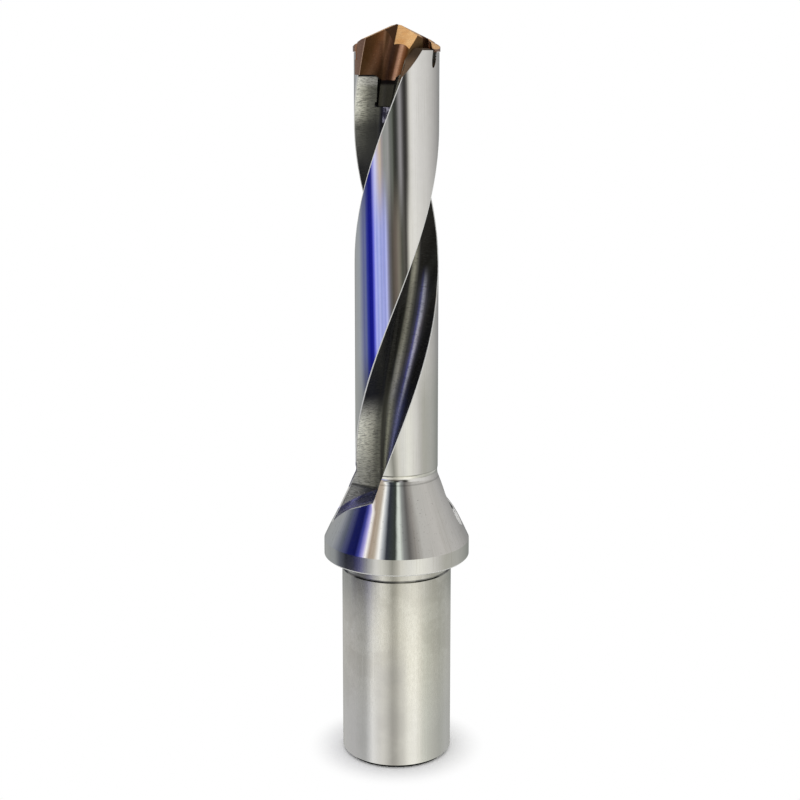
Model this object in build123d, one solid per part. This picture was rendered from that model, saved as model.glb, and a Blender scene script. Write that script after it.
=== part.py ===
from build123d import *
import os
from math import atan2, cos, radians, sin, sqrt, tan

# Exchangeable-tip drill: a one-piece steel body and a one-piece carbide head.
# Origin at the centre of the shank's end face, the axis along +Z, the tip up.
# Lengths are in mm and angles in degrees, counter-clockwise seen from the tip.

# shank
shank_radius = 16.0
shank_length = 60.0
shank_chamfer = 1.0
shank_flat_distance = 14.0
shank_flat_length = 48.0
shank_flat_angle = 135.0
undercut_depth = 0.3
undercut_length = 3.7

# flange, cone and neck
flange_radius = 21.23
flange_thickness = 4.82
flange_edge = 0.25
cone_length = 19.93
neck_radius = 11.85
neck_fillet = 3.0

# fluted body
body_radius = 12.0
seat_height = 199.2
body_lead = 196.2
seat_wall_angle = 25.9
runout_length = 13.9
runout_bend_drop = 5.2
runout_bend_shift = 14.4
runout_end_shift = 18.4

# flute section, X along the rake wall and Y ahead of it
floor_radius = 12.0
floor_centre_x = 14.57
floor_centre_y = 6.3
heel_angle = 73.0
heel_slope = -0.23
wall_fillet = 2.2

# coolant channels
channel_radius = 1.25
channel_offset = 8.3
channel_lag = 63.0
inlet_radius = 4.5
inlet_depth = 40.0
inlet_chamfer = 0.8
branch_rise = 20.0
channel_bend_drop = 10.2
channel_points = 9
outlet_angle = -27.4
outlet_height = 6.3

# head pocket in the body
arm_inner_radius = 8.65
arm_height = 7.3
arm_chamfer = 0.6
ledge_height = 6.24
drive_offset = 5.64
ramp_start = 6.57
ramp_slope = 0.592
heel_facet_angle = -126.3
heel_facet_tilt = 55.3
heel_facet_distance = 6.83
bore_radius = 5.75
bore_depth = 9.0
bore_relief_radius = 6.2
bore_relief_length = 1.4
countersink_radius = 7.3

# cutting head
head_radius = 12.25
head_height = 13.97
head_lead = 264.7
corner_angle = 45.7
corner_drop = 4.02
core_clearance = 0.05
tail_clearance = 0.1
primary_width = 1.65
primary_slope = 0.158
secondary_slope = 0.455
tail_slope = 0.9
tail_start = 9.4
chisel_half_width = 0.3
gash_drop = 0.4
gash_slope_out = 1.426
gash_slope_back = 0.238
gash_rake_slope = 2.29

# tail and coolant gully behind each cutting edge
tail_angle = 5.0
gully_inner = 6.8
gully_outer = 9.17
gully_gap = 1.6

# key slots in the head's outside
key_slot_angle = -24.0
key_slot_width = 2.0
key_slot_depth = 1.5
key_slot_height = 4.1
key_slot_tilt = 4.0

# head stem
stem_top_radius = 4.7
stem_end_radius = 5.2
stem_length = 8.8
stem_chamfer = 0.3
stem_recess = 0.25
collar_radius = 7.2
collar_drop = 1.3

# room past the outside that each cutting tool is given
spare = 6.0

flange_top = shank_length + flange_thickness
cone_top = flange_top + cone_length
cone_angle = atan2(flange_radius - neck_radius, cone_length)
runout_height = flange_top + runout_length
tip_height = seat_height + head_height
corner_height = tip_height - corner_drop
edge_slope = corner_drop / head_radius
channel_start = inlet_depth + branch_rise
channel_bend = seat_height - channel_bend_drop


def turned(shape, angle):
    return Rot(0, 0, angle) * shape


def polar(radius, angle, height):
    return Vector(radius, 0, height).rotate(Axis.Z, angle)


def body_wall_angle(height):
    return seat_wall_angle + 360 * (height - seat_height) / body_lead


def head_wall_angle(height):
    return corner_angle + 360 * (height - corner_height) / head_lead


def cylinder(radius, low, high):
    return Pos(0, 0, low) * Cylinder(radius, high - low, align=(Align.CENTER, Align.CENTER, Align.MIN))


def spun(points, arc_middle=None):
    """A turned solid; an arc through arc_middle closes its outline where that is given."""
    corners = [(radius, 0, height) for radius, height in points]
    edges = [Polyline(*corners, close=arc_middle is None)]
    if arc_middle:
        edges.append(ThreePointArc(corners[-1], (arc_middle[0], 0, arc_middle[1]), corners[0]))
    return revolve(make_face(edges), axis=Axis.Z)


def block(x_low, x_high, y_low, y_high, z_low, z_high):
    centre = Pos((x_low + x_high) / 2, (y_low + y_high) / 2, (z_low + z_high) / 2)
    return centre * Box(x_high - x_low, y_high - y_low, z_high - z_low)


def above(height, slope_x, slope_y):
    """Everything above the plane z = height + slope_x * x + slope_y * y."""
    size = 8 * head_radius
    plane = Plane(origin=(0, 0, height), z_dir=(-slope_x, -slope_y, 1))
    return plane * Box(size, size, size, align=(Align.CENTER, Align.CENTER, Align.MIN))


def flute_face(reach):
    """Section of one flute: flat rake wall, rounded corner, hollow floor and heel line."""
    offset_y = floor_centre_y - wall_fillet
    fillet_x = floor_centre_x - sqrt((floor_radius - wall_fillet) ** 2 - offset_y**2)
    centre = Vector(floor_centre_x, floor_centre_y)
    fillet_centre = Vector(fillet_x, wall_fillet)
    toward = (fillet_centre - centre).normalized()
    fillet_end = centre + toward * floor_radius
    wall_point = Vector(fillet_x, 0)
    middle_direction = ((wall_point - fillet_centre).normalized() + toward).normalized()
    fillet_middle = fillet_centre + middle_direction * wall_fillet
    heel_y = body_radius * sin(radians(heel_angle))
    heel_x = floor_centre_x - sqrt(floor_radius**2 - (heel_y - floor_centre_y) ** 2)
    heel = Vector(heel_x, heel_y)
    floor_middle = Vector(floor_centre_x - floor_radius, floor_centre_y)
    far = Vector(heel_x + heel_slope * (reach - heel_y), reach)
    edges = [
        Line(wall_point, (reach, 0)),
        Line((reach, 0), (reach, reach)),
        Line((reach, reach), far),
        Line(far, heel),
        ThreePointArc(heel, floor_middle, fillet_end),
        ThreePointArc(fillet_end, fillet_middle, wall_point),
    ]
    return make_face(edges)


def twisted(face, low, high, lead, low_angle):
    placed = Pos(0, 0, low) * turned(face, low_angle)
    rise = high - low
    return Solid.extrude_linear_with_rotation(placed.face(), (0, 0, low), (0, 0, rise), 360 * rise / lead)


def body_flute():
    """One helical flute of the body."""
    top = seat_height + arm_height + spare
    section = flute_face(flange_radius + spare)
    return twisted(section, runout_height, top, body_lead, body_wall_angle(runout_height))


def flute_runout():
    """The end of a flute: its last section, moved out through the cone along a bent path."""
    section = Pos(0, 0, runout_height) * flute_face(flange_radius + spare)
    path = Bezier(
        (0, 0, runout_height),
        (runout_bend_shift, 0, runout_height - runout_bend_drop),
        (runout_end_shift, 0, flange_top),
    )
    return turned(sweep(section, path=path, normal=(0, 0, 1)), body_wall_angle(runout_height))


def head_flute():
    low = seat_height - 2 * collar_drop
    top = tip_height + spare
    return twisted(flute_face(head_radius + spare), low, top, head_lead, head_wall_angle(low))


def stem_flute():
    """The body's flute carried across the stem, set a little deeper."""
    low = seat_height - stem_length - stem_chamfer
    face = Pos(-stem_recess, 0, 0) * flute_face(head_radius + spare)
    return twisted(face, low, seat_height - collar_drop, body_lead, body_wall_angle(low))


def body_blank():
    """The turned body; the neck's hollow is tangent to the cone and runs out at the body's radius."""
    undercut_radius = shank_radius - undercut_depth
    undercut_start = shank_length - undercut_length
    arm_top = seat_height + arm_height
    hollow_radius = neck_radius + neck_fillet
    hollow_height = cone_top + neck_fillet * tan(cone_angle / 2)
    hollow_end = hollow_height + sqrt(neck_fillet**2 - (hollow_radius - body_radius) ** 2)
    return spun(
        [
            (body_radius, hollow_end),
            (body_radius, arm_top - arm_chamfer),
            (body_radius - arm_chamfer, arm_top),
            (0, arm_top),
            (0, 0),
            (shank_radius - shank_chamfer, 0),
            (shank_radius, shank_chamfer),
            (shank_radius, undercut_start - undercut_depth),
            (undercut_radius, undercut_start),
            (undercut_radius, shank_length),
            (flange_radius - flange_edge, shank_length),
            (flange_radius, shank_length + flange_edge),
            (flange_radius, flange_top),
            (hollow_radius - neck_fillet * cos(cone_angle), hollow_height - neck_fillet * sin(cone_angle)),
        ],
        (neck_radius, hollow_height),
    )


def shank_flat():
    """The flat along the shank, with a sloping end."""
    depth = shank_radius - shank_flat_distance
    outer = shank_radius + spare
    flat = block(shank_flat_distance, outer, -outer, outer, -spare, shank_flat_length)
    end = Pos(shank_flat_distance, 0, shank_flat_length) * Rot(0, -45, 0)
    ramp = end * block(0, 4 * depth, -outer, outer, -4 * depth, 0)
    return turned(flat + ramp, shank_flat_angle)


def head_pocket():
    """What the head's wings and core take from the body's top, between the two arms."""
    top = seat_height + arm_height + spare
    reach = body_radius + spare
    core = cylinder(arm_inner_radius, seat_height, top)
    between = block(-reach, reach, -drive_offset, drive_offset, seat_height, top)
    return core + turned(between, corner_angle)


def arm_ledge():
    """The step in an arm's top under the head's tail, with the ramp at its end."""
    ledge = seat_height + ledge_height
    reach = body_radius + spare
    room = block(0, reach, -reach, reach, ledge - spare, ledge + 2 * spare)
    step = above(ledge, 0, 0) & above(ledge - ramp_slope * ramp_start, 0, -ramp_slope)
    return turned(step & room, tail_angle)


def heel_facet():
    """The slanted facet that takes the heel corner off an arm."""
    reach = 2 * body_radius
    slab = block(-reach, reach, -reach, reach, heel_facet_distance, heel_facet_distance + reach)
    facet = Pos(0, 0, seat_height) * Rot(0, 0, heel_facet_angle) * Rot(0, heel_facet_tilt, 0) * slab
    arm_side = block(-reach, reach, -reach, 0, seat_height - reach, seat_height + reach)
    return facet & turned(arm_side, corner_angle)


def stem_bore():
    floor = seat_height - bore_depth
    depth = countersink_radius - bore_radius
    slope = collar_drop / (collar_radius - stem_top_radius)
    return spun(
        [
            (0, floor),
            (bore_relief_radius, floor),
            (bore_relief_radius, floor + bore_relief_length),
            (bore_radius, floor + bore_relief_length),
            (bore_radius, seat_height - depth * slope),
            (countersink_radius, seat_height),
            (0, seat_height),
        ]
    )


def coolant_inlet():
    return spun(
        [
            (0, 0),
            (inlet_radius + inlet_chamfer, 0),
            (inlet_radius, inlet_chamfer),
            (inlet_radius, inlet_depth),
            (0, inlet_depth),
        ]
    )


def channel_point(height):
    return polar(channel_offset, body_wall_angle(height) - channel_lag, height)


def coolant_channel():
    """One channel: inclined from the inlet bore, helical along the land, out at the arm."""
    foot = Vector(0, 0, inlet_depth - inlet_radius)
    mouth = polar(body_radius, outlet_angle, seat_height + outlet_height)
    helix_step = (channel_bend - channel_start) / channel_points
    helix = [channel_point(channel_start + helix_step * step) for step in range(channel_points + 1)]
    way_out = (mouth - helix[-1]).normalized()
    path = Spline(foot, *helix, mouth, mouth + way_out * spare)
    return sweep(Plane(origin=path @ 0, z_dir=path % 0) * Circle(channel_radius), path=path)


def wing_flank():
    """What is ground off above one wing: primary, secondary and tail reliefs."""
    reach = 3 * head_radius
    behind = block(-reach, reach, -reach, chisel_half_width, seat_height, tip_height + 2 * reach)
    top = tip_height
    step = primary_width * (secondary_slope - primary_slope)
    tail_step = tail_start * (tail_slope - secondary_slope)
    primary = above(top, -edge_slope, primary_slope)
    secondary = above(top + step, -edge_slope, secondary_slope)
    tail = above(top + step + tail_step, -edge_slope, tail_slope)
    return turned((primary + secondary + tail) & behind, corner_angle)


def web_gash():
    """The notch from the tip down into the flute, thinning the web between the wings."""
    reach = 3 * head_radius
    behind = block(-reach, reach, -reach, -chisel_half_width, seat_height, tip_height + 2 * reach)
    heel_side = above(tip_height - gash_drop, gash_slope_out, gash_slope_back)
    rake_side = above(tip_height + gash_rake_slope * chisel_half_width, edge_slope, gash_rake_slope)
    return turned(heel_side & rake_side & behind, corner_angle)


def arm_space():
    """The room round the core that the arm takes, up to the underside of the tail."""
    low = seat_height
    top = tip_height + spare
    reach = head_radius + spare
    ring = cylinder(reach, low, top) - cylinder(arm_inner_radius - core_clearance, low, top)
    behind = block(-reach, reach, -reach, -drive_offset, low, top)
    room = turned(ring & behind, corner_angle)
    underside = seat_height + ledge_height + tail_clearance
    tail = above(underside, 0, 0) & above(underside - ramp_slope * ramp_start, 0, -ramp_slope)
    tail &= block(gully_outer, reach, -reach, reach, low, top)
    return room - turned(tail, tail_angle)


def gully():
    """The coolant gully between the core and the tail, open at the top."""
    reach = head_radius + spare
    low = seat_height + ledge_height
    top = tip_height + spare
    slot = turned(block(gully_inner, gully_outer, -reach, reach, low, top), tail_angle)
    behind = block(-reach, reach, -reach, -gully_gap, low, top)
    return slot & turned(behind, corner_angle)


def key_slot():
    reach = 2 * key_slot_depth
    height = 3 * head_height
    slot = block(0, reach, -key_slot_width / 2, key_slot_width / 2, 0, height)
    place = Pos(head_radius - key_slot_depth, 0, seat_height + key_slot_height)
    return turned(place * Rot(-key_slot_tilt, 0, 0) * slot, corner_angle + key_slot_angle)


def head_stem():
    end = seat_height - stem_length
    return spun(
        [
            (0, end),
            (stem_end_radius - stem_chamfer, end),
            (stem_end_radius, end + stem_chamfer),
            (stem_top_radius, seat_height - collar_drop),
            (collar_radius, seat_height),
            (0, seat_height),
        ]
    )


def make_head():
    head = cylinder(head_radius, seat_height, tip_height)
    head += head_stem()
    for angle in (0, 180):
        head -= turned(head_flute(), angle)
        head -= turned(stem_flute(), angle)
    for angle in (0, 180):
        head -= turned(wing_flank(), angle)
        head -= turned(web_gash(), angle)
        head -= turned(arm_space(), angle)
        head -= turned(gully(), angle)
        head -= turned(key_slot(), angle)
    return head


def make_body():
    body = body_blank()
    for angle in (0, 180):
        body -= turned(body_flute(), angle)
        body -= turned(flute_runout(), angle)
    body -= shank_flat()
    body -= head_pocket()
    for angle in (0, 180):
        body -= turned(arm_ledge(), angle)
        body -= turned(heel_facet(), angle)
        body -= turned(coolant_channel(), angle)
    body -= stem_bore()
    body -= coolant_inlet()
    return body


parts = {"drill_body": make_body(), "cutting_head": make_head()}
os.makedirs("parts", exist_ok=True)
for name, shape in parts.items():
    shape.label = name
    export_step(shape, f"parts/{name}.step")
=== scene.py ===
import math

import bpy
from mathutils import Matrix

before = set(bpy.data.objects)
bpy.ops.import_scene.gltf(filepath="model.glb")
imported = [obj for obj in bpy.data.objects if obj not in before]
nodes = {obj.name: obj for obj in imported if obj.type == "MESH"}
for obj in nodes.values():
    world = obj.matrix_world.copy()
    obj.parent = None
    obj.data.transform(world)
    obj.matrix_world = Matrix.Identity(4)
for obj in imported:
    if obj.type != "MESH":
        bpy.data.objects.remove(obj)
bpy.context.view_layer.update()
scene = bpy.context.scene

# Camera, fitted to the ring edges, the tip and the seat line in the photo
CAMERA_DISTANCE = 0.41814
CAMERA_HEIGHT = 0.20384
CAMERA_PITCH = 8.79
SENSOR_WIDTH = 36
NEAR_CLIP = 0.01
FOCAL_PIXELS = 1477.05
HORIZON_PIXEL = 286.26
AXIS_PIXEL = 396.6
IMAGE = 800

camera_data = bpy.data.cameras.new("camera")
camera = bpy.data.objects.new("camera", camera_data)
scene.collection.objects.link(camera)
scene.camera = camera
camera.location = (0, -CAMERA_DISTANCE, CAMERA_HEIGHT)
camera.rotation_euler = (math.radians(90 - CAMERA_PITCH), 0, 0)
camera_data.sensor_width = SENSOR_WIDTH
camera_data.lens = SENSOR_WIDTH * FOCAL_PIXELS / IMAGE
camera_data.shift_x = (IMAGE / 2 - AXIS_PIXEL) / IMAGE
camera_data.shift_y = (HORIZON_PIXEL - IMAGE / 2) / IMAGE
camera_data.clip_start = NEAR_CLIP
scene.view_settings.view_transform = "Standard"

WHITE = (1, 1, 1, 1)


class Nodes:
    """A node tree built by short calls. Masks run from 0 to 1."""

    def __init__(self, tree):
        self.tree = tree

    def add(self, kind, inputs=None, **settings):
        node = self.tree.nodes.new(kind)
        for name, value in settings.items():
            setattr(node, name, value)
        for name, value in (inputs or {}).items():
            self.put(node.inputs[name], value)
        return node

    def put(self, socket, value):
        if isinstance(value, bpy.types.NodeSocket):
            self.tree.links.new(value, socket)
        else:
            socket.default_value = value

    def math(self, operation, first, second=None, third=None):
        node = self.add("ShaderNodeMath", operation=operation)
        for socket, value in zip(node.inputs, (first, second, third)):
            if value is not None:
                self.put(socket, value)
        return node.outputs[0]

    def times(self, first, second):
        return self.math("MULTIPLY", first, second)

    def plus(self, first, second):
        return self.math("ADD", first, second)

    def minus(self, first, second):
        return self.math("SUBTRACT", first, second)

    def inverse(self, mask):
        return self.minus(1.0, mask)

    def both(self, *masks):
        product = masks[0]
        for mask in masks[1:]:
            product = self.times(product, mask)
        return product

    def either(self, *masks):
        largest = masks[0]
        for mask in masks[1:]:
            largest = self.math("MAXIMUM", largest, mask)
        return largest

    def over(self, value, low, high):
        """0 below low, 1 above high, smooth between."""
        inputs = {"Value": value, "From Min": low, "From Max": high}
        return self.add("ShaderNodeMapRange", inputs, interpolation_type="SMOOTHSTEP").outputs["Result"]

    def under(self, value, low, high):
        """1 below low, 0 above high, smooth between."""
        return self.inverse(self.over(value, low, high))

    def band(self, value, low, high, soft):
        """1 from low to high, fading out over the soft width on both sides."""
        return self.both(self.over(value, low - soft, low), self.under(value, high, high + soft))

    def mix(self, factor, first, second):
        inputs = {"Factor": factor, "A": first, "B": second}
        return self.add("ShaderNodeMix", inputs, data_type="RGBA").outputs["Result"]

    def mix_number(self, factor, first, second):
        inputs = {"Factor": factor, "A": first, "B": second}
        return self.add("ShaderNodeMix", inputs, data_type="FLOAT").outputs["Result"]

    def paint(self, tone, colour, mask, share=None):
        """The colour laid over the tone where the mask is, in full or by a share."""
        return self.mix(mask if share is None else self.times(mask, share), tone, colour)

    def ramp(self, factor, stops):
        node = self.add("ShaderNodeValToRGB", {"Fac": factor})
        elements = node.color_ramp.elements
        while len(elements) > 1:
            elements.remove(elements[-1])
        elements[0].position = stops[0][0]
        elements[0].color = (*stops[0][1], 1)
        for position, colour in stops[1:]:
            elements.new(position).color = (*colour, 1)
        return node.outputs["Color"]

    def tones(self, value, stops):
        """A colour ramp with its stops in mm, from 0 to the last stop."""
        end = stops[-1][0]
        shares = [(position / end, colour) for position, colour in stops]
        return self.ramp(self.math("DIVIDE", value, end), shares)

    def blots(self, vector, size, detail, roughness):
        """Noise with blots of about the given size in mm."""
        inputs = {"Vector": vector, "Scale": 1 / size, "Detail": detail, "Roughness": roughness}
        return self.add("ShaderNodeTexNoise", inputs).outputs["Fac"]

    def streaks(self, place, around, up, offset, detail, roughness):
        """Noise on the outside, with its frequency for each degree around and for each mm up."""
        inputs = {"X": self.times(place.angle, around), "Y": self.times(place.z, up), "Z": offset}
        vector = self.add("ShaderNodeCombineXYZ", inputs).outputs[0]
        return self.blots(vector, 1.0, detail, roughness)


def linear(*colour):
    """Screen colour out of 255 as a linear colour, by the standard screen curve."""
    shares = [value / 255 for value in colour]
    return tuple(((s + 0.055) / 1.055) ** 2.4 if s > 0.04045 else s / 12.92 for s in shares)


# The room as the bare metal mirrors it: soft panels by compass direction, 0 toward the camera,
# positive to the right, in degrees, with the screen colour of each. One list for each height
# in the room, from the ground up.
GROUND_PANELS = [
    (-180, (34, 35, 33)),
    (-70, (40, 42, 40)),
    (-41, (72, 72, 70)),
    (-12, (120, 120, 108)),
    (6, (200, 199, 182)),
    (26, (214, 213, 195)),
    (46, (165, 164, 146)),
    (73, (84, 86, 78)),
    (92, (48, 50, 46)),
    (130, (30, 31, 29)),
    (180, (34, 35, 33)),
]
TABLE_PANELS = [
    (-180, (165, 164, 160)),
    (-150, (186, 185, 181)),
    (-104, (184, 182, 179)),
    (-80, (176, 175, 171)),
    (-70, (178, 177, 173)),
    (-61, (204, 203, 199)),
    (-52, (234, 232, 226)),
    (-30, (234, 231, 220)),
    (-20, (216, 213, 202)),
    (-9, (186, 183, 172)),
    (0, (198, 195, 183)),
    (8, (224, 221, 208)),
    (16, (234, 231, 218)),
    (24, (246, 243, 230)),
    (40, (250, 247, 235)),
    (49, (234, 231, 218)),
    (58, (214, 213, 200)),
    (70, (200, 200, 188)),
    (88, (186, 185, 175)),
    (104, (175, 175, 166)),
    (131, (182, 182, 176)),
    (180, (165, 164, 160)),
]
BENCH_PANELS = [
    (-180, (128, 130, 128)),
    (-152, (156, 158, 156)),
    (-116, (140, 143, 144)),
    (-102, (84, 87, 96)),
    (-88, (34, 36, 46)),
    (-74, (32, 33, 54)),
    (-65, (50, 50, 92)),
    (-58, (88, 88, 124)),
    (-50, (122, 122, 132)),
    (-42, (164, 164, 162)),
    (-33, (206, 205, 200)),
    (-24, (204, 203, 194)),
    (-15, (178, 177, 168)),
    (-7, (140, 139, 130)),
    (0, (170, 168, 158)),
    (7, (208, 206, 196)),
    (20, (216, 215, 208)),
    (35, (228, 227, 217)),
    (58, (208, 206, 200)),
    (70, (186, 184, 178)),
    (82, (170, 169, 160)),
    (112, (166, 166, 160)),
    (150, (138, 140, 135)),
    (180, (128, 130, 128)),
]
LEVEL_PANELS = [
    (-180, (130, 131, 132)),
    (-150, (156, 158, 158)),
    (-121, (152, 157, 163)),
    (-101, (96, 102, 146)),
    (-94, (104, 112, 152)),
    (-87, (50, 58, 148)),
    (-79, (20, 24, 130)),
    (-70, (26, 30, 138)),
    (-65, (96, 100, 214)),
    (-59, (178, 182, 246)),
    (-54, (150, 160, 226)),
    (-49, (180, 186, 240)),
    (-44, (150, 158, 216)),
    (-39, (166, 172, 230)),
    (-34, (148, 154, 214)),
    (-30, (184, 190, 242)),
    (-25, (140, 140, 170)),
    (-20, (100, 99, 104)),
    (-13, (82, 77, 70)),
    (-5, (104, 94, 86)),
    (3, (126, 120, 108)),
    (12, (78, 79, 71)),
    (17, (84, 82, 76)),
    (23, (64, 62, 58)),
    (28, (160, 158, 150)),
    (32, (218, 216, 208)),
    (46, (224, 222, 216)),
    (84, (202, 200, 195)),
    (116, (176, 174, 170)),
    (145, (150, 149, 147)),
    (180, (130, 131, 132)),
]
WINDOW_PANELS = [
    (-180, (130, 131, 132)),
    (-150, (154, 156, 156)),
    (-122, (150, 153, 156)),
    (-96, (90, 94, 120)),
    (-80, (30, 34, 110)),
    (-70, (34, 38, 126)),
    (-64, (150, 150, 220)),
    (-57, (206, 208, 246)),
    (-50, (196, 186, 196)),
    (-43, (204, 186, 166)),
    (-37, (158, 150, 150)),
    (-31, (142, 144, 140)),
    (-20, (152, 152, 150)),
    (-15, (110, 112, 108)),
    (-9, (98, 102, 95)),
    (-5, (58, 60, 54)),
    (0, (52, 53, 50)),
    (4, (80, 80, 78)),
    (9, (138, 136, 136)),
    (12, (146, 144, 146)),
    (16, (104, 102, 102)),
    (20, (60, 59, 58)),
    (25, (54, 53, 50)),
    (29, (104, 102, 98)),
    (33, (176, 174, 168)),
    (38, (214, 212, 206)),
    (46, (222, 220, 216)),
    (62, (212, 210, 206)),
    (84, (202, 200, 196)),
    (116, (174, 172, 169)),
    (145, (148, 147, 145)),
    (180, (130, 131, 132)),
]
HIGH_PANELS = [
    (-180, (120, 120, 125)),
    (-125, (108, 112, 114)),
    (-104, (90, 96, 106)),
    (-94, (74, 78, 112)),
    (-84, (26, 30, 84)),
    (-72, (18, 22, 78)),
    (-65, (64, 68, 150)),
    (-58, (170, 164, 226)),
    (-53, (255, 250, 246)),
    (-47, (164, 148, 132)),
    (-38, (184, 172, 156)),
    (-31, (252, 251, 246)),
    (-25, (176, 180, 184)),
    (-18, (50, 54, 62)),
    (-2, (56, 62, 56)),
    (2, (206, 213, 204)),
    (6, (214, 220, 212)),
    (12, (140, 142, 140)),
    (22, (96, 94, 92)),
    (34, (146, 142, 137)),
    (46, (182, 180, 175)),
    (80, (188, 185, 180)),
    (118, (168, 166, 162)),
    (180, (120, 120, 125)),
]
# Heights in the room, as degrees above the level, where one list fades into the next, and the last
# one into the ceiling
FADES = ((-38, -33), (-21.2, -19.8), (-13.5, -11), (-7, -4), (9, 16))
CEILING_FADE = (44, 56)
CEILING = (1.0, 0.99, 0.97, 1)


def heights(fade):
    """The two heights of a fade as upward parts of a direction."""
    return [math.sin(math.radians(angle)) for angle in fade]


def build_world():
    """White for the camera and for diffuse light, the room for what the metal mirrors."""
    world = bpy.data.worlds.new("studio")
    scene.world = world
    world.use_nodes = True
    tree = Nodes(world.node_tree)
    world.node_tree.nodes.clear()
    direction = tree.add("ShaderNodeTexCoord").outputs["Generated"]
    parts = tree.add("ShaderNodeSeparateXYZ", {"Vector": direction})
    azimuth = tree.math("ARCTAN2", parts.outputs["X"], tree.times(parts.outputs["Y"], -1.0))
    turn = tree.math("MULTIPLY_ADD", azimuth, 1 / (2 * math.pi), 0.5)
    lists = (GROUND_PANELS, TABLE_PANELS, BENCH_PANELS, LEVEL_PANELS, WINDOW_PANELS, HIGH_PANELS)
    ramps = [tree.ramp(turn, [((a + 180) / 360, linear(*c)) for a, c in panels]) for panels in lists]
    room = ramps[0]
    for fade, ramp in zip(FADES, ramps[1:]):
        room = tree.mix(tree.over(parts.outputs["Z"], *heights(fade)), room, ramp)
    room = tree.mix(tree.over(parts.outputs["Z"], *heights(CEILING_FADE)), room, CEILING)
    path = tree.add("ShaderNodeLightPath")
    soft = tree.mix(path.outputs["Is Glossy Ray"], WHITE, room)
    seen = tree.mix(path.outputs["Is Camera Ray"], soft, WHITE)
    background = tree.add("ShaderNodeBackground", {"Color": seen, "Strength": 1.0})
    tree.add("ShaderNodeOutputWorld", {"Surface": background.outputs[0]})


FLOOR_HALF_SIZE = 3.0
FLOOR_FADE = (0.0168, 0.027)
FLOOR_TONE = (0.98, 0.98, 0.98, 1)
FLOOR_GRAIN = {"Scale": 900.0, "Detail": 4.0}
FLOOR_ROUGHNESS = 0.9


def build_floor():
    """A pale floor that keeps the drill's shadow near it and fades to white further out."""
    mesh = bpy.data.meshes.new("floor")
    size = FLOOR_HALF_SIZE
    corners = [(-size, -size, 0), (size, -size, 0), (size, size, 0), (-size, size, 0)]
    mesh.from_pydata(corners, [], [(0, 1, 2, 3)])
    floor = bpy.data.objects.new("floor", mesh)
    scene.collection.objects.link(floor)
    material = bpy.data.materials.new("pale_floor")
    material.use_nodes = True
    tree = Nodes(material.node_tree)
    shader = material.node_tree.nodes["Principled BSDF"]
    grain = tree.add("ShaderNodeTexNoise", FLOOR_GRAIN)
    tree.put(shader.inputs["Base Color"], tree.mix(grain.outputs["Fac"], FLOOR_TONE, WHITE))
    tree.put(shader.inputs["Roughness"], FLOOR_ROUGHNESS)
    tree.put(shader.inputs["Specular IOR Level"], 0.0)
    place = tree.add("ShaderNodeNewGeometry").outputs["Position"]
    distance = tree.add("ShaderNodeVectorMath", {0: place}, operation="LENGTH").outputs["Value"]
    glow = tree.add("ShaderNodeEmission", {"Color": WHITE, "Strength": 1.0})
    layers = {0: tree.over(distance, *FLOOR_FADE), 1: shader.outputs[0], 2: glow.outputs[0]}
    blend = tree.add("ShaderNodeMixShader", layers)
    output = material.node_tree.nodes["Material Output"]
    tree.put(output.inputs["Surface"], blend.outputs[0])
    mesh.materials.append(material)
    floor.visible_glossy = False


MM_PER_METRE = 1000.0
# The two flutes and the two wings lie a half turn apart
HALF_TURN = 180.0
# Sizes of the drill in mm and degrees, as the solids have them
SHANK_TOP = 60.0
UNDERCUT_START = 56.15
FLANGE_TOP = 64.82
FLANGE_RADIUS = 21.23
CONE_SLOPE = 0.4706
RUNOUT_TOP = 78.72
NECK_TOP = 87.0
BODY_RADIUS = 12.0
BODY_LEAD = 196.2
SEAT = 199.2
SEAT_WALL_ANGLE = 25.9
HEEL_ANGLE = 71.98
STEM_TOP = 197.7
HEAD_RADIUS = 12.25
HEAD_LEAD = 264.7
HEAD_CORNER = 209.15
HEAD_WALL_ANGLE = 45.7

# Below, lengths and heights are in mm, "across" is the distance from a rake wall's plane, and "sunk"
# the depth under the drill's round outside. A pair of limits is the soft step of a mask, and three
# numbers are a band's low end, its high end and the width over which both fade.

# Tones across a flute, by the distance in mm from the rake wall's plane: painted reflections, a cream
# and a lavender highlight band between dark painted shade. The bands lie a little further from the
# wall the higher up they are, so the distance is taken at DRIFT_HEIGHT.
BAND_DRIFT = 0.063
DRIFT_HEIGHT = 120.0
DRIFT_SPARE = 5.0
FLUTE_REFLECTION_TONES = [
    (0.0, (0.020, 0.020, 0.022)),
    (6.0, (0.008, 0.008, 0.006)),
    (6.8, (0.018, 0.018, 0.014)),
    (7.4, (0.240, 0.235, 0.185)),
    (8.1, (0.360, 0.350, 0.280)),
    (8.8, (0.150, 0.147, 0.120)),
    (9.5, (0.050, 0.050, 0.050)),
    (10.3, (0.060, 0.060, 0.100)),
    (10.9, (0.120, 0.125, 0.340)),
    (11.4, (0.560, 0.560, 0.720)),
    (11.8, (0.420, 0.415, 0.500)),
    (12.3, (0.110, 0.105, 0.130)),
    (12.9, (0.025, 0.025, 0.030)),
    (13.8, (0.010, 0.010, 0.010)),
    (20.0, (0.016, 0.016, 0.020)),
]
# The same painted reflection bands and shade near the foot of the flute, where the bands spread, by
# the distance from the wall itself
FOOT_REFLECTION_TONES = [
    (0.0, (0.020, 0.020, 0.018)),
    (0.9, (0.060, 0.060, 0.045)),
    (1.9, (0.360, 0.360, 0.280)),
    (2.9, (0.160, 0.160, 0.140)),
    (4.1, (0.080, 0.085, 0.150)),
    (5.4, (0.190, 0.200, 0.420)),
    (6.8, (0.045, 0.055, 0.160)),
    (8.5, (0.012, 0.014, 0.040)),
    (10.7, (0.009, 0.010, 0.022)),
    (12.0, (0.020, 0.020, 0.030)),
]
FOOT_FADE = (100.0, 115.0)
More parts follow.
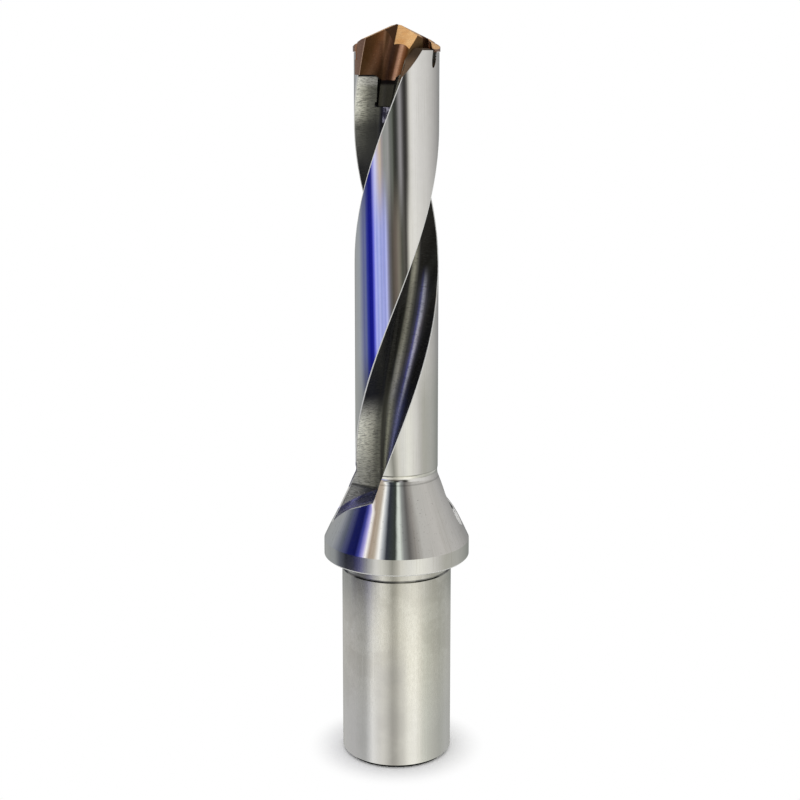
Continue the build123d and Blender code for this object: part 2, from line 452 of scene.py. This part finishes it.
# Tones of the run-out, painted reflection and shade: its floor, bluish with a lavender highlight band,
# by the depth in mm under the cone, its wall, darker towards the axis, by the distance from the axis
RUNOUT_REFLECTION_TONES = [
    (0.0, (0.080, 0.080, 0.130)),
    (1.2, (0.060, 0.060, 0.120)),
    (2.4, (0.045, 0.045, 0.150)),
    (3.3, (0.180, 0.180, 0.400)),
    (4.4, (0.110, 0.110, 0.260)),
    (5.2, (0.030, 0.032, 0.080)),
    (7.0, (0.055, 0.058, 0.120)),
    (14.0, (0.040, 0.040, 0.070)),
]
RUNOUT_WALL_SHADE_TONES = [
    (4.0, (0.020, 0.020, 0.024)),
    (7.9, (0.035, 0.035, 0.040)),
    (9.5, (0.070, 0.072, 0.078)),
    (11.0, (0.180, 0.180, 0.170)),
    (12.6, (0.290, 0.290, 0.270)),
    (16.0, (0.320, 0.320, 0.300)),
]
# Tones across the rake wall where it is painted bright, by the distance in mm from the axis: near the
# foot and near the head. Painted light, pale cream at the outside, with painted shade towards the axis.
WALL_FOOT_TONES = [
    (4.0, (0.05, 0.05, 0.04)),
    (6.0, (0.25, 0.25, 0.20)),
    (7.5, (0.58, 0.57, 0.47)),
    (9.3, (0.80, 0.79, 0.67)),
    (11.6, (0.95, 0.95, 0.84)),
    (12.0, (0.97, 0.97, 0.90)),
]
WALL_TOP_TONES = [
    (4.0, (0.05, 0.05, 0.04)),
    (6.4, (0.17, 0.17, 0.14)),
    (7.4, (0.20, 0.20, 0.165)),
    (8.3, (0.28, 0.275, 0.225)),
    (9.3, (0.50, 0.495, 0.41)),
    (10.2, (0.68, 0.67, 0.565)),
    (11.0, (0.88, 0.87, 0.75)),
    (12.0, (1.00, 0.995, 0.90)),
]
# Painted shade: the near-black rake wall between its painted bright parts, and the heights that limit
# these
WALL_DARK = (0.018, 0.019, 0.022, 1)
WALL_LOW = (99.0, 109.0)
WALL_MIDDLE = (135.0, 145.0)
WALL_HIGH = (184.0, 190.5)
WALL_TAIL = (171.0, 184.0)
WALL_TAIL_SHARE = 0.18
# Where the painted blue reflection band of a flute ends, by height and by the distance used for the
# flute's reflection tones; above it the flute is painted near-black as shade
BLUE_TOP = (136.0, 146.0)
BLUE_START = (9.0, 9.8)
# Tones across the head's flute, painted shade with a painted copper highlight band, by the distance
# in mm from its rake wall's plane at the height of HEAD_SHIFT, and how far they move in for each mm down
HEAD_SHIFT = (205.8, 0.16)
HEAD_TONES = [
    (0.0, (0.093, 0.040, 0.014)),
    (0.7, (0.170, 0.082, 0.045)),
    (1.2, (0.093, 0.040, 0.017)),
    (2.0, (0.034, 0.014, 0.005)),
    (2.9, (0.060, 0.024, 0.008)),
    (3.7, (0.140, 0.062, 0.025)),
    (4.4, (0.760, 0.420, 0.260)),
    (5.1, (0.960, 0.560, 0.350)),
    (6.0, (0.420, 0.185, 0.084)),
    (7.2, (0.180, 0.066, 0.018)),
    (8.2, (0.110, 0.064, 0.024)),
    (8.6, (0.030, 0.015, 0.006)),
    (12.0, (0.060, 0.028, 0.012)),
]
# Tones across the head's rake face, painted shade with a painted highlight streak, by the distance in
# mm from the axis at the height of RAKE_SHIFT, and how far they move out for each mm down
RAKE_SHIFT = (208.7, 0.36)
RAKE_TONES = [
    (0.8, (0.040, 0.018, 0.006)),
    (2.9, (0.055, 0.024, 0.009)),
    (4.2, (0.160, 0.080, 0.040)),
    (5.6, (0.230, 0.120, 0.064)),
    (6.8, (0.180, 0.086, 0.038)),
    (8.2, (0.110, 0.052, 0.017)),
    (10.5, (0.085, 0.039, 0.012)),
    (12.25, (0.100, 0.046, 0.020)),
]
# The dark line painted as shade at the foot of the rake wall: its height at the axis and its rise with
# the radius
FOOT_LINE = 78.2
FOOT_LINE_RISE = 0.11
FOOT_LINE_BAND = (FOOT_LINE, FOOT_LINE + 0.2, 0.5)
# The painted reflection on the right-hand run-out: dark, with a bright painted glint near its end, by
# height and by the distance to the right
GLINT = (67.4, 71.6, 0.9)
GLINT_SIDE = (13.0, 13.5)


class Place:
    """Position on the drill in mm, its cylinder coordinates, and how far the surface faces up."""

    def __init__(self, tree):
        geometry = tree.add("ShaderNodeNewGeometry")
        inputs = {0: geometry.outputs["Position"], "Scale": MM_PER_METRE}
        self.vector = tree.add("ShaderNodeVectorMath", inputs, operation="SCALE").outputs[0]
        parts = tree.add("ShaderNodeSeparateXYZ", {"Vector": self.vector})
        self.x, self.y, self.z = (parts.outputs[axis] for axis in "XYZ")
        squares = tree.plus(tree.times(self.x, self.x), tree.times(self.y, self.y))
        self.radius = tree.math("SQRT", squares)
        self.angle = tree.math("DEGREES", tree.math("ARCTAN2", self.y, self.x))
        normal = {"Vector": geometry.outputs["True Normal"]}
        self.upward = tree.add("ShaderNodeSeparateXYZ", normal).outputs["Z"]


def around_wall(tree, place, height, start, lead, start_angle):
    """Degrees past a rake wall, counter-clockwise seen from the tip, up to a half turn."""
    helix = tree.times(tree.minus(height, start), 360 / lead)
    past = tree.minus(place.angle, tree.plus(helix, start_angle))
    return tree.math("FLOORED_MODULO", past, HALF_TURN)


def across_wall(tree, place, around):
    """Distance in mm from the rake wall's plane."""
    return tree.times(place.radius, tree.math("SINE", tree.math("RADIANS", around)))


# Limits of the body's regions
OVER_FLANGE = (FLANGE_TOP + 0.1, FLANGE_TOP + 0.3)
SHANK_LIMIT = (SHANK_TOP - 0.1, SHANK_TOP)
FLANGE_BAND = (SHANK_TOP, FLANGE_TOP, 0.1)
CONE_LIMIT = (86.1, 86.5)
FLUTE_SUNK = (0.22, 0.34)
LAND_SUNK = (0.05, 0.1)
WALL_ACROSS = (0.4, 1.0)
WALL_RADIUS = (4.4, 5.2)
LIP_ACROSS = (0.2, 0.3)
HEEL_BAND = (HEEL_ANGLE, HEEL_ANGLE + 1.1, 0.2)
EDGE_BAND_SUNK = (0.05, 0.2, 0.03)
CONE_EDGE_TOP = (81.5, 82.0)
CONE_EDGE_SUNK = (0.28, 0.46, 0.05)
NECK_LIMIT = (NECK_TOP, NECK_TOP + 0.5)
RIM_BAND = (SHANK_TOP, SHANK_TOP + 0.3, 0.06)
RIM_RADIUS = (20.4, 20.6)
UNDER_LINE = (FOOT_LINE - 0.3, FOOT_LINE)


class Regions:
    """Masks of the body's regions, and its flute coordinates."""

    def __init__(self, tree, place):
        z = place.z
        cone = tree.math("MULTIPLY_ADD", z, -CONE_SLOPE, FLANGE_RADIUS + CONE_SLOPE * FLANGE_TOP)
        outside = tree.math("MAXIMUM", BODY_RADIUS, tree.math("MINIMUM", FLANGE_RADIUS, cone))
        self.sunk = tree.minus(outside, place.radius)
        self.over_flange = tree.over(z, *OVER_FLANGE)
        self.in_flute = tree.both(self.over_flange, tree.over(self.sunk, *FLUTE_SUNK))
        self.on_shank = tree.under(z, *SHANK_LIMIT)
        self.on_flange = tree.band(z, *FLANGE_BAND)
        self.on_cone = tree.both(self.over_flange, tree.under(z, *CONE_LIMIT))
        height = tree.math("MAXIMUM", z, RUNOUT_TOP)
        self.around = around_wall(tree, place, height, SEAT, BODY_LEAD, SEAT_WALL_ANGLE)
        self.across = across_wall(tree, place, self.around)
        near_wall = tree.under(self.across, *WALL_ACROSS)
        self.on_wall = tree.both(near_wall, tree.over(place.radius, *WALL_RADIUS))
        over_axis = tree.math("MULTIPLY_ADD", place.radius, -FOOT_LINE_RISE, z)
        self.under_line = tree.under(over_axis, *UNDER_LINE)
        self.foot_line = tree.band(over_axis, *FOOT_LINE_BAND)
        tail = tree.times(tree.over(z, *WALL_TAIL), WALL_TAIL_SHARE)
        high = tree.math("MULTIPLY_ADD", tree.over(z, *WALL_HIGH), 1 - WALL_TAIL_SHARE, tail)
        self.bright = tree.plus(tree.under(z, *WALL_LOW), high)
        self.edge = self.edges(tree, place)

    def edges(self, tree, place):
        """The broken edges: lips and heels of the flutes, the cone's edges and the flange's lower rim."""
        on_land = tree.under(self.sunk, *LAND_SUNK)
        lip = tree.both(tree.under(self.across, *LIP_ACROSS), on_land)
        heel = tree.both(tree.band(self.around, *HEEL_BAND), on_land)
        edge_bands = tree.either(lip, heel, tree.band(self.sunk, *EDGE_BAND_SUNK))
        cone_edge = tree.both(tree.under(place.z, *CONE_EDGE_TOP), tree.band(self.sunk, *CONE_EDGE_SUNK))
        flute_edge = tree.mix_number(tree.over(place.z, *NECK_LIMIT), cone_edge, edge_bands)
        rim = tree.both(tree.band(place.z, *RIM_BAND), tree.over(place.radius, *RIM_RADIUS))
        return tree.either(tree.both(self.over_flange, flute_edge), rim)


# Noise in blots: size in mm, detail, roughness
BLOTS = {
    "mottle": (2.2, 5.0, 0.6),
    "cloud": (9.0, 3.0, 0.55),
    "speck": (0.35, 3.0, 0.7),
    "stain": (16.0, 6.0, 0.6),
    "pits": (0.8, 4.0, 0.75),
}
# Noise over the outside: frequency for each degree around and each mm up, offset, detail, roughness
STREAKS = {
    "strokes": (0.7, 0.05, 0.0, 3.0, 0.5),
    "brush": (0.45, 0.06, 0.0, 5.0, 0.75),
    "grain": (1.1, 0.8, 0.0, 5.0, 0.8),
    "scratches": (0.8, 0.045, 3.0, 2.0, 0.6),
}
# Cutting marks in the flutes: the scale of the place along each axis, and the noise in it
MARKS_STRETCH = (0.8, 0.8, 6.5)
MARKS = (1.0, 3.0, 0.65)


def steel_textures(tree, place):
    """The noises of the steel by name."""
    textures = {name: tree.blots(place.vector, *values) for name, values in BLOTS.items()}
    textures.update({name: tree.streaks(place, *values) for name, values in STREAKS.items()})
    inputs = {0: place.vector, 1: MARKS_STRETCH}
    stretched = tree.add("ShaderNodeVectorMath", inputs, operation="MULTIPLY").outputs[0]
    textures["marks"] = tree.blots(stretched, *MARKS)
    return textures


# Colours of the ground outside, with the limits and the share of each
LAND_TONES = ((0.90, 0.90, 0.895, 1), WHITE)
LAND_STROKES = ((0.80, 0.79, 0.76, 1), (0.5, 0.8), 0.6)
SHANK_TONES = ((0.92, 0.915, 0.89, 1), (0.98, 0.98, 0.96, 1))
SHANK_MOTTLE = (0.38, 0.66)
# Marks on the shank by their noise: colour, the noise's limits, share
SHANK_MARKS = {
    "cloud": ((0.80, 0.78, 0.72, 1), (0.45, 0.75), 0.3),
    "brush": ((0.76, 0.75, 0.71, 1), (0.4, 0.8), 0.5),
    "stain": ((0.58, 0.56, 0.52, 1), (0.5, 0.58), 0.28),
    "grain": ((0.70, 0.70, 0.68, 1), (0.42, 0.6), 0.55),
    "scratches": ((1.0, 1.0, 0.99, 1), (0.62, 0.68), 0.5),
}
SHANK_COOL = (0.87, 0.885, 0.93, 1)
SHANK_COOL_HEIGHT = (8.0, 34.0)
SHANK_COOL_SHARE = 0.6
# A darker strip on the lower front of the shank, a painted darker reflection, uneven by the cloud noise
SHANK_DARK_REFLECTION = (0.68, 0.68, 0.70, 1)
SHANK_DARK_REFLECTION_X = (-4.5, 1.2, 3.0)
SHANK_DARK_REFLECTION_HEIGHT = (26.0, 42.0)
SHANK_FRONT_Y = (-1.0, 0.0)
CLOUD_LIMITS = (0.35, 0.6)
DARK_REFLECTION_CLOUD_SHARES = (0.65, 1.0)
# Painted shade on the down-facing chamfer at the shank's foot
CHAMFER_SHADE_TONE = (0.25, 0.25, 0.25, 1)
CHAMFER_SHADE_TOP = (0.5, 1.1)


def land_tone(tree, textures):
    land = tree.mix(textures["mottle"], *LAND_TONES)
    colour, limits, share = LAND_STROKES
    return tree.paint(land, colour, tree.over(textures["strokes"], *limits), share)


def shank_tone(tree, place, textures):
    tone = tree.mix(tree.over(textures["mottle"], *SHANK_MOTTLE), *SHANK_TONES)
    for name, (colour, limits, share) in SHANK_MARKS.items():
        tone = tree.paint(tone, colour, tree.over(textures[name], *limits), share)
    tone = tree.paint(tone, SHANK_COOL, tree.under(place.z, *SHANK_COOL_HEIGHT), SHANK_COOL_SHARE)
    # Painted darker reflection on the lower front of the shank
    strip = tree.both(
        tree.band(place.x, *SHANK_DARK_REFLECTION_X),
        tree.under(place.z, *SHANK_DARK_REFLECTION_HEIGHT),
        tree.under(place.y, *SHANK_FRONT_Y),
    )
    uneven = tree.mix_number(tree.over(textures["cloud"], *CLOUD_LIMITS), *DARK_REFLECTION_CLOUD_SHARES)
    tone = tree.paint(tone, SHANK_DARK_REFLECTION, tree.times(strip, uneven))
    # Painted shade on the chamfer at the foot
    return tree.paint(tone, CHAMFER_SHADE_TONE, tree.under(place.z, *CHAMFER_SHADE_TOP))


# Colours of the flutes and rake walls, with the limits and the share of each. Among them, painted light
# and shade: near-black over the blue reflection band, painted light on the wall near the head, painted
# shade low on the wall, a painted shadow under the head's edge, a painted shade line at the wall's foot
# and the painted reflection on the right-hand run-out
OVER_BLUE_TONE = (0.016, 0.015, 0.012, 1)
WALL_LIT = (1.0, 0.99, 0.93, 1)
WALL_LIT_HEIGHT = (195.5, 197.3)
WALL_LIT_SHARE = 0.4
WALL_SHADE = (0.16, 0.155, 0.12, 1)
WALL_SHADE_TOP = (82.0, 98.0)
WALL_SHADE_BOTTOM = (70.0, 71.0)
WALL_SHADE_SHARE = 0.55
SEAM_TONE = (0.008, 0.007, 0.006, 1)
SEAM_HEIGHT = (SEAT - 0.6, SEAT - 0.4)
UPWARD_FLOOR = (0.1, 0.5)
FOOT_LINE_TONE = (0.015, 0.015, 0.015, 1)
FOOT_LINE_SHARE = 0.8
RIGHT_END_TONE = (0.035, 0.037, 0.04, 1)
GLINT_TONE = (1.0, 1.0, 0.98, 1)
UNDER_STEM_TONES = ((0.05, 0.045, 0.08, 1), (0.55, 0.53, 0.66, 1))
UNDER_STEM_HEIGHT = (186.0, 190.4, 0.4)
UNDER_STEM_ACROSS = (1.0, 4.5, 0.4)
UNDER_STEM_MOTTLE = (0.42, 0.58)
MARKS_TONE = (0.04, 0.04, 0.036, 1)
MARKS_SHARE = 0.65
MARKS_IN_FLOOR = (0.5, 0.66)
MARKS_ON_WALL = (0.46, 0.6)
PITS_TONE = (0.03, 0.03, 0.028, 1)
PITS_SHARE = 0.5
PITS_IN_FLUTE = (0.58, 0.68)


def floor_tone(tree, place, regions):
    """The hollow floor of a flute, in painted reflection bands and painted shade."""
    drift = tree.math("MULTIPLY_ADD", place.z, -BAND_DRIFT, BAND_DRIFT * DRIFT_HEIGHT + DRIFT_SPARE)
    drifted = tree.plus(regions.across, drift)
    # Painted shade: near-black over the blue reflection band, high up the flute
    over_blue = tree.both(tree.over(place.z, *BLUE_TOP), tree.over(drifted, *BLUE_START))
    upper = tree.paint(tree.tones(drifted, FLUTE_REFLECTION_TONES), OVER_BLUE_TONE, over_blue)
    return tree.mix(tree.over(place.z, *FOOT_FADE), tree.tones(regions.across, FOOT_REFLECTION_TONES), upper)


def wall_tone(tree, place, regions):
    """The flat rake wall, in painted light near the foot and near the head, painted shade and shadow
    elsewhere.
    """
    foot = tree.tones(place.radius, WALL_FOOT_TONES)
    top = tree.tones(place.radius, WALL_TOP_TONES)
    bare = tree.mix(tree.over(place.z, *WALL_MIDDLE), foot, top)
    # Painted light high on the wall, just under the head
    bare = tree.paint(bare, WALL_LIT, tree.over(place.z, *WALL_LIT_HEIGHT), WALL_LIT_SHARE)
    # Painted shade: near-black wherever the wall is not painted bright
    wall = tree.mix(regions.bright, WALL_DARK, bare)
    # Painted shade low on the wall
    fading = tree.both(tree.under(place.z, *WALL_SHADE_TOP), tree.over(place.z, *WALL_SHADE_BOTTOM))
    wall = tree.paint(wall, WALL_SHADE, fading, WALL_SHADE_SHARE)
    # Painted shadow on the wall under the head's edge
    return tree.paint(wall, SEAM_TONE, tree.over(place.z, *SEAM_HEIGHT))


def runout_tone(tree, place, regions):
    """The run-out in the cone, in painted reflection and shade: its wall where the surface is steep, its
    floor where it is flat.
    """
    wall = tree.tones(place.radius, RUNOUT_WALL_SHADE_TONES)
    return tree.mix(tree.over(place.upward, *UPWARD_FLOOR), wall, tree.tones(regions.sunk, RUNOUT_REFLECTION_TONES))


def flute_tone(tree, place, regions, textures):
    """All that is cut into the round outside: flutes, rake walls and run-outs, with painted light and
    shade.
    """
    tone = tree.mix(regions.on_wall, floor_tone(tree, place, regions), wall_tone(tree, place, regions))
    tone = tree.mix(regions.under_line, tone, runout_tone(tree, place, regions))
    # Painted shade line at the foot of the rake wall
    tone = tree.paint(tone, FOOT_LINE_TONE, regions.foot_line, FOOT_LINE_SHARE)
    # Painted reflection on the right-hand run-out: dark, with a bright painted glint
    right_end = tree.over(place.x, *GLINT_SIDE)
    tone = tree.paint(tone, RIGHT_END_TONE, tree.both(right_end, regions.under_line))
    tone = tree.paint(tone, GLINT_TONE, tree.both(right_end, tree.band(place.z, *GLINT)))
    # A mottled violet-grey patch below the stem's foot
    under_stem = tree.both(
        tree.band(place.z, *UNDER_STEM_HEIGHT),
        tree.band(regions.across, *UNDER_STEM_ACROSS),
    )
    under_stem_patch = tree.mix(tree.over(textures["mottle"], *UNDER_STEM_MOTTLE), *UNDER_STEM_TONES)
    tone = tree.mix(under_stem, tone, under_stem_patch)
    marks = textures["marks"]
    in_floor = tree.over(marks, *MARKS_IN_FLOOR)
    marked = tree.mix_number(regions.on_wall, in_floor, tree.over(marks, *MARKS_ON_WALL))
    tone = tree.paint(tone, MARKS_TONE, marked, MARKS_SHARE)
    return tree.paint(tone, PITS_TONE, tree.over(textures["pits"], *PITS_IN_FLUTE), PITS_SHARE)


# Colours of the dark lines round the neck, the pale broken edges with their painted highlight, the painted
# shade in the undercut groove, the cone's pits and the painted shade on the slopes of the arms
NECK_LINE_TONE = (0.22, 0.22, 0.21, 1)
NECK_LINE_SHARE = 0.35
NECK_LINES = ((86.3, 86.45, 0.08), (83.6, 83.8, 0.2))
EDGE_HIGHLIGHT_TONE = (0.66, 0.66, 0.64, 1)
GROOVE_SHADE_TONE = (0.04, 0.04, 0.06, 1)
GROOVE_SHADE_HEIGHT = (UNDERCUT_START, UNDERCUT_START + 0.35, 0.25)
GROOVE_SHADE_SHARES = (0.35, 0.8)
CONE_PITS_TONE = (0.62, 0.61, 0.60, 1)
CONE_PITS = (0.6, 0.7)
SLOPE_SHADE_TONES = ((0.15, 0.095, 0.055, 1), (0.05, 0.03, 0.014, 1))
SLOPE_HEIGHT = (202.0, 205.0)
SLOPE_BOTTOM = (SEAT - 1.5, SEAT - 1.0)
SLOPE_UPWARD = (0.25, 0.3)


def steel_tone(tree, place, regions, textures):
    tone = tree.mix(regions.on_shank, land_tone(tree, textures), shank_tone(tree, place, textures))
    neck_lines = tree.either(*(tree.band(place.z, *line) for line in NECK_LINES))
    tone = tree.paint(tone, NECK_LINE_TONE, neck_lines, NECK_LINE_SHARE)
    tone = tree.mix(regions.in_flute, tone, flute_tone(tree, place, regions, textures))
    # Pale broken edges: their rough finish is the edges' own, their pale colour a painted highlight along
    # them
    tone = tree.paint(tone, EDGE_HIGHLIGHT_TONE, regions.edge)
    # Painted shade in the undercut groove under the flange, uneven by the cloud noise
    groove = tree.both(tree.band(place.z, *GROOVE_SHADE_HEIGHT), regions.on_shank)
    uneven = tree.mix_number(tree.over(textures["cloud"], *CLOUD_LIMITS), *GROOVE_SHADE_SHARES)
    tone = tree.paint(tone, GROOVE_SHADE_TONE, tree.times(groove, uneven))
    cone_pits = tree.both(regions.on_cone, tree.over(textures["pits"], *CONE_PITS))
    tone = tree.paint(tone, CONE_PITS_TONE, cone_pits)
    # Painted shade on the upward slopes of the arms, dark brown, near black higher up
    on_slope = tree.both(tree.over(place.z, *SLOPE_BOTTOM), tree.over(place.upward, *SLOPE_UPWARD))
    return tree.mix(on_slope, tone, tree.mix(tree.over(place.z, *SLOPE_HEIGHT), *SLOPE_SHADE_TONES))


# Low metallic values let the painted tones show more than the mirrored room
METALLIC_FLUTE = 0.4
METALLIC_BRIGHT_WALL = 0.08
METALLIC_EDGE = 0.2
SPECULAR_OUTSIDE = 0.5
SPECULAR_FLUTE = 0.25
ROUGHNESS_LAND = (0.03, 0.06)
ROUGHNESS_CONE = (0.03, 0.05)
ROUGHNESS_SHANK = (0.09, 0.15)
ROUGHNESS_FLANGE = (0.05, 0.09)
ROUGHNESS_FLUTE = (0.16, 0.3)
ROUGHNESS_EDGE = 0.5
# Strengths of the bumps, outside the region of each and in it, and their heights in metres
MARKS_BUMP = (0.0, 0.3)
MARKS_BUMP_HEIGHT = 0.00006
BRUSH_BUMP = (0.03, 0.12)
SPECK_BUMP = 0.04
FINE_BUMP_HEIGHT = 0.00003


def steel_roughness(tree, regions, textures):
    mottle = textures["mottle"]
    layers = (
        (regions.on_cone, mottle, ROUGHNESS_CONE),
        (regions.on_shank, mottle, ROUGHNESS_SHANK),
        (regions.on_flange, textures["speck"], ROUGHNESS_FLANGE),
        (regions.in_flute, textures["marks"], ROUGHNESS_FLUTE),
    )
    finish = tree.mix_number(mottle, *ROUGHNESS_LAND)
    for mask, texture, limits in layers:
        finish = tree.mix_number(mask, finish, tree.mix_number(texture, *limits))
    return tree.mix_number(regions.edge, finish, ROUGHNESS_EDGE)


def steel_normal(tree, regions, textures):
    """Cutting marks in the flutes, brushing on the shank and fine specks everywhere."""
    layers = (
        ("marks", tree.mix_number(regions.in_flute, *MARKS_BUMP), MARKS_BUMP_HEIGHT),
        ("brush", tree.mix_number(regions.on_shank, *BRUSH_BUMP), FINE_BUMP_HEIGHT),
        ("speck", SPECK_BUMP, FINE_BUMP_HEIGHT),
    )
    below = {}
    for name, strength, height in layers:
        inputs = {"Height": textures[name], "Strength": strength, "Distance": height, **below}
        below = {"Normal": tree.add("ShaderNodeBump", inputs).outputs[0]}
    return below["Normal"]


def new_material(name):
    """A material with its node tree, its shader's inputs and the place on the drill."""
    material = bpy.data.materials.new(name)
    material.use_nodes = True
    tree = Nodes(material.node_tree)
    return material, tree, material.node_tree.nodes["Principled BSDF"].inputs, Place(tree)


def steel_material():
    material, tree, shader, place = new_material("ground_steel")
    regions = Regions(tree, place)
    textures = steel_textures(tree, place)
    tree.put(shader["Base Color"], steel_tone(tree, place, regions, textures))
    bright_wall = tree.both(regions.on_wall, regions.bright)
    flute_metal = tree.mix_number(bright_wall, METALLIC_FLUTE, METALLIC_BRIGHT_WALL)
    metallic = tree.mix_number(regions.in_flute, 1.0, flute_metal)
    tree.put(shader["Metallic"], tree.mix_number(regions.edge, metallic, METALLIC_EDGE))
    specular = tree.mix_number(regions.in_flute, SPECULAR_OUTSIDE, SPECULAR_FLUTE)
    tree.put(shader["Specular IOR Level"], specular)
    tree.put(shader["Roughness"], steel_roughness(tree, regions, textures))
    tree.put(shader["Normal"], steel_normal(tree, regions, textures))
    return material


# Colours of the head's coat, rake faces, margins, edges and stem, with their limits and shares. The coat
# on upward faces is painted lit from above, and the gash faces are painted dark as shade
LIT_COAT_TONES = ((0.82, 0.42, 0.15, 1), (0.98, 0.60, 0.27, 1))
COAT_CLOUD = (0.3, 0.7)
LIT_COAT_UPWARD = (0.44, 0.52)
RAKE_ACROSS = (0.25, 0.5)
RAKE_RADIUS = (4.3, 5.0)
RAKE_DULL = (0.20, 0.12, 0.07, 1)
RAKE_DULL_SHARE = 0.4
RAKE_CLOUD = (0.35, 0.7)
RAKE_CLOUD_SHARE = 0.35
GASH_SHADE_TONE = (0.06, 0.028, 0.012, 1)
GASH_SHADE_UPWARD = (0.3, 0.36)
MARGIN_TONES = ((0.18, 0.105, 0.070, 1), (0.28, 0.165, 0.115, 1))
MARGIN_RADIUS = (HEAD_RADIUS - 0.1, HEAD_RADIUS - 0.04)
GRINDING_TONE = (0.10, 0.05, 0.03, 1)
GRINDING_LIMITS = (0.45, 0.75)
GRINDING_SHARE = 0.25
HONED_TONE = (0.50, 0.34, 0.24, 1)
HONED_ACROSS = (0.08, 0.16)
HONED_RADIUS = (12.0, 12.1)
STEM_TONES = ((0.035, 0.033, 0.024, 1), (0.085, 0.080, 0.060, 1))
STEM_LIMIT = (STEM_TOP - 0.1, STEM_TOP + 0.1)
STEM_SHADE = (0.007, 0.005, 0.004, 1)
STEM_SHADE_HEIGHT = (196.0, 196.9)
# Noises, shine and bumps of the head
HEAD_GRAIN = (0.5, 5.0, 0.7)
HEAD_CLOUD = (4.0, 3.0, 0.55)
HEAD_GRINDING = (0.05, 3.0, 0.0, 3.0, 0.5)
HEAD_METALLIC = 0.5
HEAD_SPECULAR = 0.12
HEAD_ROUGHNESS = (0.2, 0.32)
STEM_ROUGHNESS = 0.45
HEAD_BUMP = {"Strength": 0.03, "Distance": 0.00002}


def rake_tone(tree, place, across, cloud):
    """The head's flute and rake faces in painted highlights and shade, the gash faces painted dark."""
    height, shift = HEAD_SHIFT
    moved = tree.plus(across, tree.math("MULTIPLY_ADD", place.z, -shift, shift * height))
    on_rake = tree.both(tree.under(across, *RAKE_ACROSS), tree.over(place.radius, *RAKE_RADIUS))
    height, shift = RAKE_SHIFT
    shifted = tree.plus(place.radius, tree.math("MULTIPLY_ADD", place.z, shift, -shift * height))
    rake = tree.mix(on_rake, tree.tones(moved, HEAD_TONES), tree.tones(shifted, RAKE_TONES))
    dull = tree.mix(RAKE_DULL_SHARE, rake, RAKE_DULL)
    rake = tree.paint(rake, dull, tree.over(cloud, *RAKE_CLOUD), RAKE_CLOUD_SHARE)
    # Painted shade on the gash faces
    return tree.paint(rake, GASH_SHADE_TONE, tree.over(place.upward, *GASH_SHADE_UPWARD))


def carbide_material():
    material, tree, shader, place = new_material("bronze_coating")
    grain = tree.blots(place.vector, *HEAD_GRAIN)
    cloud = tree.blots(place.vector, *HEAD_CLOUD)
    grinding = tree.streaks(place, *HEAD_GRINDING)
    around = around_wall(tree, place, place.z, HEAD_CORNER, HEAD_LEAD, HEAD_WALL_ANGLE)
    across = across_wall(tree, place, around)

    # Painted light: the coat on upward faces, painted brighter as lit from above
    coat = tree.mix(tree.over(cloud, *COAT_CLOUD), *LIT_COAT_TONES)
    tone = tree.mix(tree.over(place.upward, *LIT_COAT_UPWARD), rake_tone(tree, place, across, cloud), coat)
    tone = tree.mix(tree.over(place.radius, *MARGIN_RADIUS), tone, tree.mix(grain, *MARGIN_TONES))
    tone = tree.paint(tone, GRINDING_TONE, tree.over(grinding, *GRINDING_LIMITS), GRINDING_SHARE)
    honed = tree.both(tree.under(across, *HONED_ACROSS), tree.over(place.radius, *HONED_RADIUS))
    tone = tree.paint(tone, HONED_TONE, honed)
    stem = tree.mix(grain, *STEM_TONES)
    stem = tree.paint(stem, STEM_SHADE, tree.over(place.z, *STEM_SHADE_HEIGHT))
    on_stem = tree.under(place.z, *STEM_LIMIT)
    tree.put(shader["Base Color"], tree.mix(on_stem, tone, stem))
    tree.put(shader["Metallic"], HEAD_METALLIC)
    tree.put(shader["Specular IOR Level"], HEAD_SPECULAR)
    finish = tree.mix_number(grain, *HEAD_ROUGHNESS)
    tree.put(shader["Roughness"], tree.mix_number(on_stem, finish, STEM_ROUGHNESS))
    bump = tree.add("ShaderNodeBump", {"Height": grinding, **HEAD_BUMP})
    tree.put(shader["Normal"], bump.outputs[0])
    return material


def dress(node, material):
    slots = nodes[node].data.materials
    slots.clear()
    slots.append(material)


build_world()
build_floor()
dress("drill_body", steel_material())
dress("cutting_head", carbide_material())
